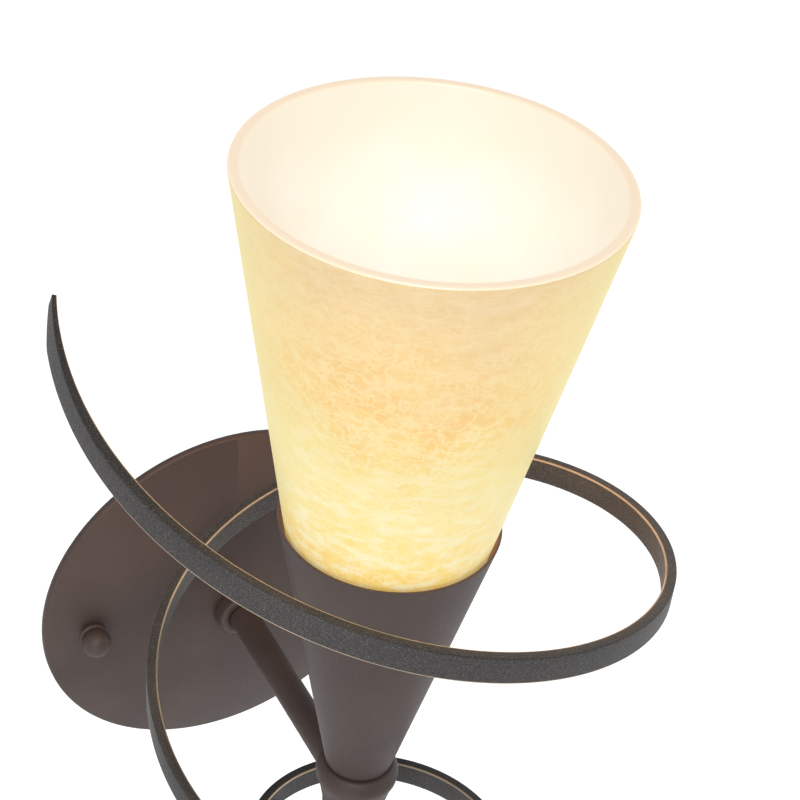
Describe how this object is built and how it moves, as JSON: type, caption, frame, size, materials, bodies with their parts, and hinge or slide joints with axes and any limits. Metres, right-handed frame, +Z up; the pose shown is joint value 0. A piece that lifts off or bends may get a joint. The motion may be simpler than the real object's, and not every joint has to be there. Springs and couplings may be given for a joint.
{
  "type": "torch wall sconce",
  "caption": "Wall light shaped as a torch: an amber glass cone in a metal cup, held off a round canopy by an arm, with a flat bar wound round it as a spiral.",
  "frame": {"origin": "centre of the crossbar's back face, in the wall plane, level with the arm", "axes": "+Y into the wall, so the light stands out towards -Y; +Z up along the torch axis; +X to the right for someone facing the wall"},
  "size_m": [0.1652, 0.182, 0.2795],
  "materials": {
    "bronze_paint": "satin bronze-brown paint, rubbed thin at edges",
    "forged_iron": "rough grey-black paint with brown showing through",
    "zinc_steel": "zinc plated",
    "green_screw": "green ground screw",
    "gasket_felt": "heat-proof ring",
    "alabaster_glass": "mottled amber cast glass",
    "phenolic": "moulded lampholder",
    "brass": "bright",
    "lamp_glass": "clear",
    "phosphor": "coated filament",
    "lead_black": "lead insulation",
    "lead_white": "lead insulation"
  },
  "bodies": {
    "fixture": {"canopy": "bronze_paint", "crossbar": "zinc_steel", "canopy_screws": "zinc_steel", "ground_screw": "green_screw", "arm_tube": "bronze_paint", "arm_boss": "bronze_paint", "arm_washer": "zinc_steel", "arm_nut": "zinc_steel", "hub": "bronze_paint", "stem": "bronze_paint", "bottom_finial": "bronze_paint", "nipple": "zinc_steel", "torch_cup": "bronze_paint", "cup_washer": "zinc_steel", "cup_nut": "zinc_steel", "shade_seat": "zinc_steel", "shade_gasket": "gasket_felt", "holder_cap": "zinc_steel", "holder_body": "phenolic", "holder_shell": "brass", "holder_contact": "brass", "lead_live": "lead_black", "lead_neutral": "lead_white", "spiral_bar": "forged_iron", "spiral_brace": "forged_iron"},
    "shade": {"glass_shade": "alabaster_glass"},
    "lamp": {"lamp_envelope": "lamp_glass", "lamp_base": "brass", "lamp_contact": "brass", "lamp_mount": "lamp_glass", "lamp_filament": "phosphor"},
    "cap_nut_left": {"cap_nut_left": "bronze_paint"},
    "cap_nut_right": {"cap_nut_right": "bronze_paint"}
  },
  "joints": [
    {"name": "shade_lift", "type": "slide", "parent": "fixture", "child": "shade", "axis": [0, 0, 1], "range_m": [0, 0.08]},
    {"name": "lamp_out", "type": "slide", "parent": "fixture", "child": "lamp", "axis": [0, 0, 1], "range_m": [0, 0.155]},
    {"name": "cap_nut_left_off", "type": "slide", "parent": "fixture", "child": "cap_nut_left", "axis": [0, -1, 0], "range_m": [0, 0.012]},
    {"name": "cap_nut_right_off", "type": "slide", "parent": "fixture", "child": "cap_nut_right", "axis": [0, -1, 0], "range_m": [0, 0.012]}
  ]
}
